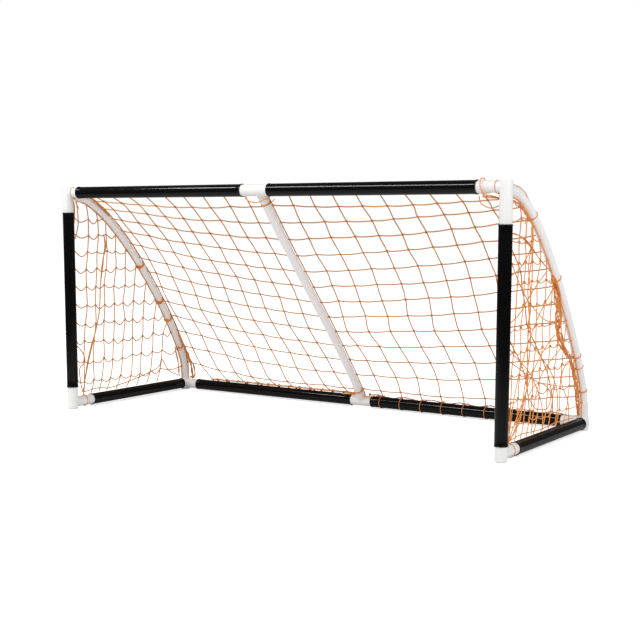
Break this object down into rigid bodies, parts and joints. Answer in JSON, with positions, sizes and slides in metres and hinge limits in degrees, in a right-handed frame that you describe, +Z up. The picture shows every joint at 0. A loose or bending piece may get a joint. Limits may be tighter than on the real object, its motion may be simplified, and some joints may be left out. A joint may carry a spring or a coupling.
{
  "type": "portable soccer goal",
  "caption": "Portable soccer goal: white plug-together tube frame with loose black sleeves on its bars, bent side stays, a straight middle stay and an orange cord net",
  "frame": {"origin": "on the ground, under the middle of the goal", "axes": "+X along the crossbar to the right, +Y from the mouth to the back, +Z up"},
  "size_m": [2.4998, 0.9628, 1.1449],
  "materials": {
    "white_fitting": "smooth white moulded plastic, soft shine",
    "white_tube": "smooth white extruded plastic tube",
    "grey_white_stay": "dull grey-white plastic tube",
    "black_sleeve": "glossy black thin-walled plastic sleeve",
    "orange_cord": "twisted orange polyethylene cord, knotted"
  },
  "bodies": {
    "root": {"top_corner_left": "white_fitting", "top_corner_right": "white_fitting", "front_elbow_left": "white_fitting", "front_elbow_right": "white_fitting", "rear_corner_left": "white_fitting", "rear_corner_right": "white_fitting", "crossbar_tee": "white_fitting", "rear_tee": "white_fitting", "post_tube_left": "white_tube", "post_tube_right": "white_tube", "crossbar_tube_left": "white_tube", "crossbar_tube_right": "white_tube", "rear_tube_left": "white_tube", "rear_tube_right": "white_tube", "side_tube_left": "white_tube", "side_tube_right": "white_tube", "side_stay_left": "grey_white_stay", "side_stay_right": "grey_white_stay", "middle_stay": "grey_white_stay", "net_back_upper_left": "orange_cord", "net_back_upper_right": "orange_cord", "net_back_middle_left": "orange_cord", "net_back_middle_right": "orange_cord", "net_back_lower_left": "orange_cord", "net_back_lower_right": "orange_cord", "net_side_left": "orange_cord", "net_side_right": "orange_cord", "tie_top_left": "orange_cord", "tie_top_right": "orange_cord", "tie_elbow_left": "orange_cord", "tie_elbow_right": "orange_cord", "tie_tee": "orange_cord", "tie_rear_tee": "orange_cord", "tie_stay_left_1": "orange_cord", "tie_stay_left_2": "orange_cord", "tie_stay_left_3": "orange_cord", "tie_stay_left_4": "orange_cord", "tie_stay_right_1": "orange_cord", "tie_stay_right_2": "orange_cord", "tie_stay_right_3": "orange_cord", "tie_stay_right_4": "orange_cord", "tie_stay_right_5": "orange_cord", "rear_lacing": "orange_cord"},
    "post_sleeve_left": {"post_sleeve_left": "black_sleeve"},
    "post_sleeve_right": {"post_sleeve_right": "black_sleeve"},
    "crossbar_sleeve_left": {"crossbar_sleeve_left": "black_sleeve"},
    "crossbar_sleeve_right": {"crossbar_sleeve_right": "black_sleeve"},
    "rear_sleeve_left": {"rear_sleeve_left": "black_sleeve"},
    "rear_sleeve_right": {"rear_sleeve_right": "black_sleeve"},
    "side_sleeve_left": {"side_sleeve_left": "black_sleeve"},
    "side_sleeve_right": {"side_sleeve_right": "black_sleeve"}
  },
  "joints": [
    {"name": "post_sleeve_left_slide", "type": "slide", "parent": "root", "child": "post_sleeve_left", "axis": [0, 0, 1], "range_m": [-0.051, 0.067]},
    {"name": "post_sleeve_right_slide", "type": "slide", "parent": "root", "child": "post_sleeve_right", "axis": [0, 0, 1], "range_m": [-0.002, 0.115]},
    {"name": "crossbar_sleeve_left_slide", "type": "slide", "parent": "root", "child": "crossbar_sleeve_left", "axis": [1, 0, 0], "range_m": [-0.036, 0.069]},
    {"name": "crossbar_sleeve_right_slide", "type": "slide", "parent": "root", "child": "crossbar_sleeve_right", "axis": [1, 0, 0], "range_m": [-0.022, 0.083]},
    {"name": "rear_sleeve_left_slide", "type": "slide", "parent": "root", "child": "rear_sleeve_left", "axis": [1, 0, 0], "range_m": [-0.072, 0.035]},
    {"name": "rear_sleeve_right_slide", "type": "slide", "parent": "root", "child": "rear_sleeve_right", "axis": [1, 0, 0], "range_m": [-0.03, 0.013]},
    {"name": "side_sleeve_left_slide", "type": "slide", "parent": "root", "child": "side_sleeve_left", "axis": [0, 1, 0], "range_m": [-0.049, 0.004]},
    {"name": "side_sleeve_right_slide", "type": "slide", "parent": "root", "child": "side_sleeve_right", "axis": [0, 1, 0], "range_m": [-0.044, 0.009]}
  ]
}
